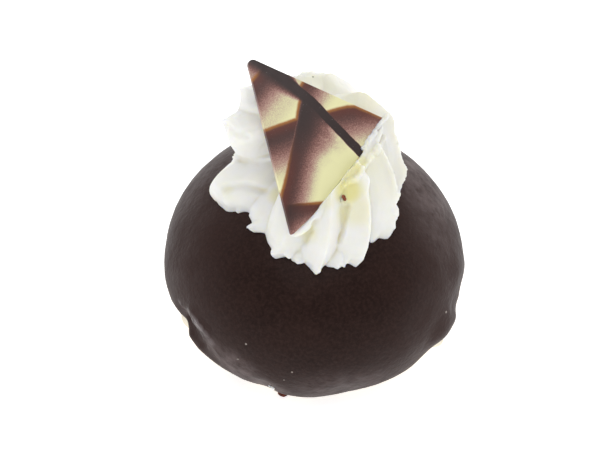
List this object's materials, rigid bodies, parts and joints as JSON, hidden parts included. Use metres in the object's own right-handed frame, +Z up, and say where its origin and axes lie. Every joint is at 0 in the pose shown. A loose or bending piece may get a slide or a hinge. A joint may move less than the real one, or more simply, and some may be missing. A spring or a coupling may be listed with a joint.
{
  "type": "cream puff",
  "caption": "Round choux bun under a dark chocolate coat with an uneven hem, topped with a piped star of whipped cream and a thin patterned chocolate triangle.",
  "frame": {"origin": "centre of the bun's flat base, on the surface that it stands on", "axes": "+Z up through the cream, -Y towards the side that the chocolate triangle faces, +X to the right as seen from that side"},
  "size_m": [0.084, 0.084, 0.0853],
  "materials": {
    "choux_pastry": "matte baked crust, golden brown",
    "dark_chocolate": "satin dark chocolate",
    "whipped_cream": "soft white whipped cream",
    "patterned_chocolate": "smooth pale chocolate with dark chocolate strokes"
  },
  "bodies": {
    "root": {"choux_bun": "choux_pastry", "chocolate_coat": "dark_chocolate", "cream_star": "whipped_cream", "chocolate_triangle": "patterned_chocolate"}
  },
  "joints": []
}
